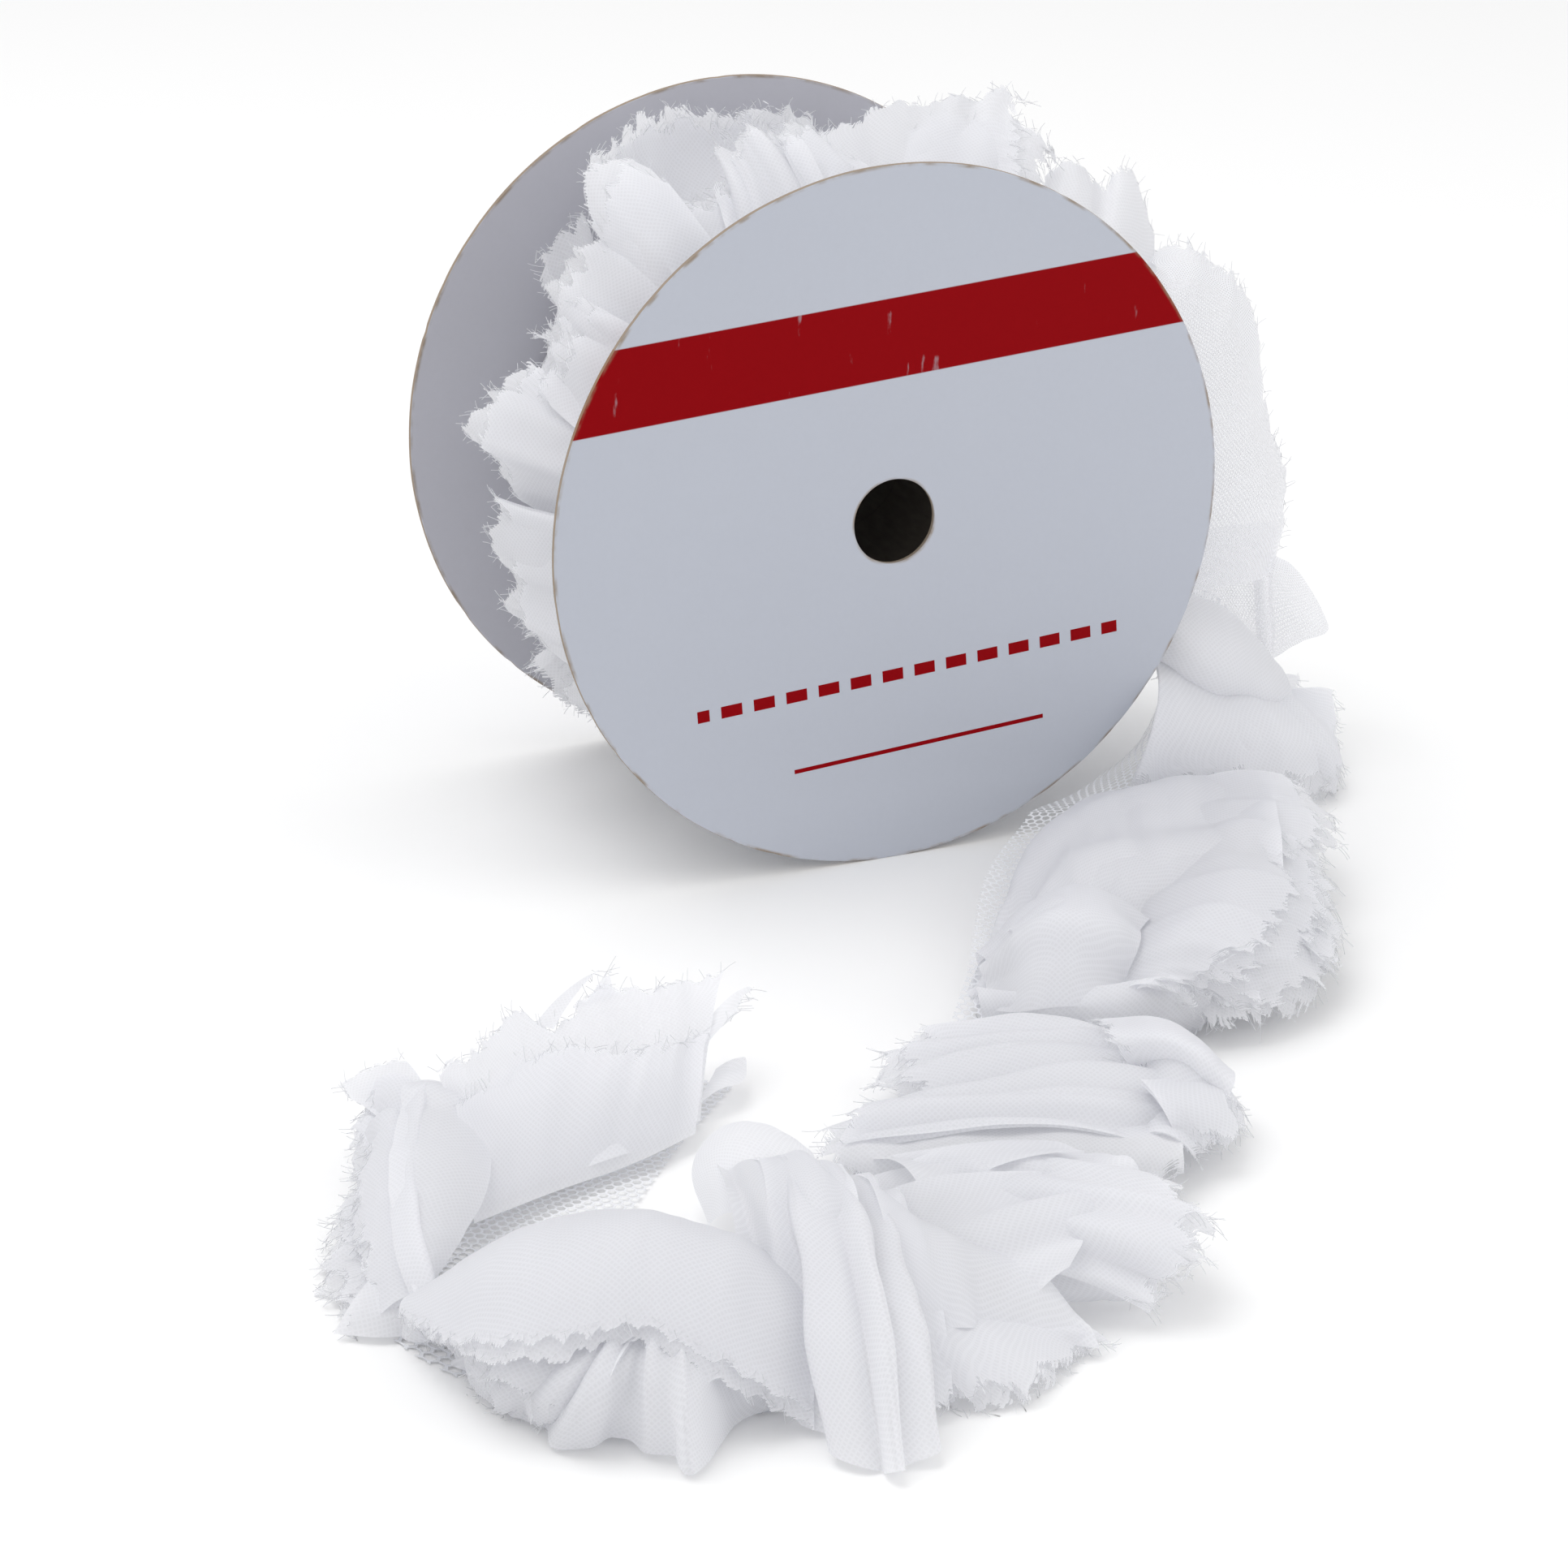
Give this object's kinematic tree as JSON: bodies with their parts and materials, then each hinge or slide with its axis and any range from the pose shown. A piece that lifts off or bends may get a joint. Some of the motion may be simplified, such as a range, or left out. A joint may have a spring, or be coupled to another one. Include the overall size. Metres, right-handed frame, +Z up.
{
  "type": "ribbon rose trim on a card reel",
  "caption": "Frayed chiffon roses on a net tape, wound between two board discs, with a loose end that curves over the table.",
  "frame": {"origin": "centre of the bounding box in plan, on the table under the part", "axes": "+Z up, the reel's axis along Y with the front disc towards -Y, the loose end leaving on the +X side"},
  "size_m": [0.2518, 0.2768, 0.1306],
  "materials": {
    "card": "matt, smooth",
    "grey_board": "matt, raw",
    "voile": "sheer open weave, frayed edges",
    "net": "fine net"
  },
  "bodies": {
    "root": {"disc_front": "card", "disc_back": "card", "core_tube": "grey_board", "wound_trim": "voile", "net_tape": "net", "rose_1": "voile", "rose_2": "voile", "rose_3": "voile", "rose_4": "voile", "rose_5": "voile", "rose_6": "voile", "rose_7": "voile", "rose_8": "voile", "rose_9": "voile"}
  },
  "joints": []
}
